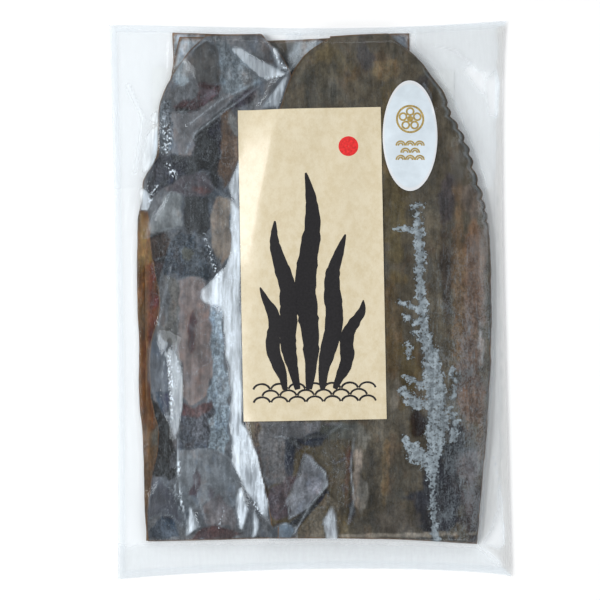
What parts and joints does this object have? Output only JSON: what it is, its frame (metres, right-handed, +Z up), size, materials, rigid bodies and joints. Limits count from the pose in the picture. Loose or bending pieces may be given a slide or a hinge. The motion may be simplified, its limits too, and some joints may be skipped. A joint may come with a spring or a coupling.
{
  "type": "sealed clear bag of dried kelp",
  "caption": "Flat sealed clear film bag holding stacked cut sheets of dried kelp, with a tall paper label, an oval sticker and a back label.",
  "frame": {"origin": "on the surface that the bag lies on, under the middle of its outline", "axes": "+Z up out of the bag's front, +Y towards its top edge, +X to its right as seen from the front"},
  "size_m": [0.221, 0.307, 0.0132],
  "materials": {
    "film": "clear glossy film drawn over dark kelp",
    "kelp": "dry, leathery, with a pale bloom",
    "label_paper": "uncoated, mottled cream",
    "silver_sticker": "satin silver"
  },
  "bodies": {
    "root": {"bag": "film", "front_label": "label_paper", "oval_sticker": "silver_sticker", "back_label": "label_paper"}
  },
  "joints": []
}
